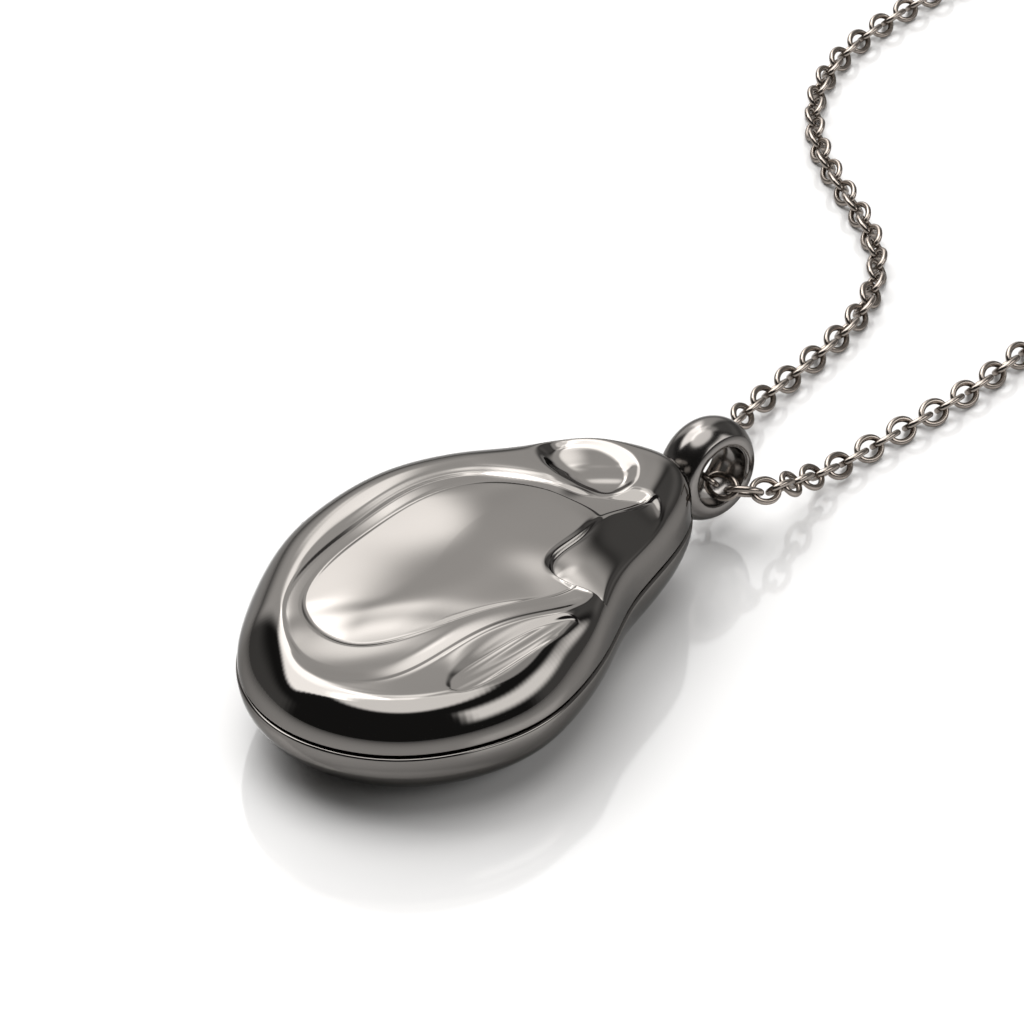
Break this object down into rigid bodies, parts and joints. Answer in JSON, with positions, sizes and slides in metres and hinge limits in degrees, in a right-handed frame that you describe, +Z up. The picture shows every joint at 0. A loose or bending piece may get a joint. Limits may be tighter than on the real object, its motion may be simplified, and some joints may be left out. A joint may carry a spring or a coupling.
{
  "type": "solid perfume pendant",
  "caption": "Pebble-shaped hinged metal compact for solid perfume with a carved lid, a ring bail and a cable chain.",
  "frame": {"origin": "middle of the flat that the compact rests on, on the floor", "axes": "+Y from the wide end towards the bail, +X along the bail's hole, +Z up through the lid"},
  "size_m": [0.078, 0.2258, 0.0114],
  "materials": {
    "plated_shell": "mirror-polished black ruthenium plate",
    "chain_wire": "polished black ruthenium plate",
    "pin_wire": "drawn"
  },
  "bodies": {
    "case": {"base_shell": "plated_shell", "bail": "plated_shell", "hinge_pin": "pin_wire", "chain_left": "chain_wire", "chain_right": "chain_wire", "clasp": "chain_wire"},
    "lid": {"lid": "plated_shell"}
  },
  "joints": [
    {"name": "lid_hinge", "type": "hinge", "parent": "case", "child": "lid", "pos_m": [-0.01605, 0.003, 0.006], "axis": [0, -1, 0], "range_deg": [0, 110]}
  ]
}
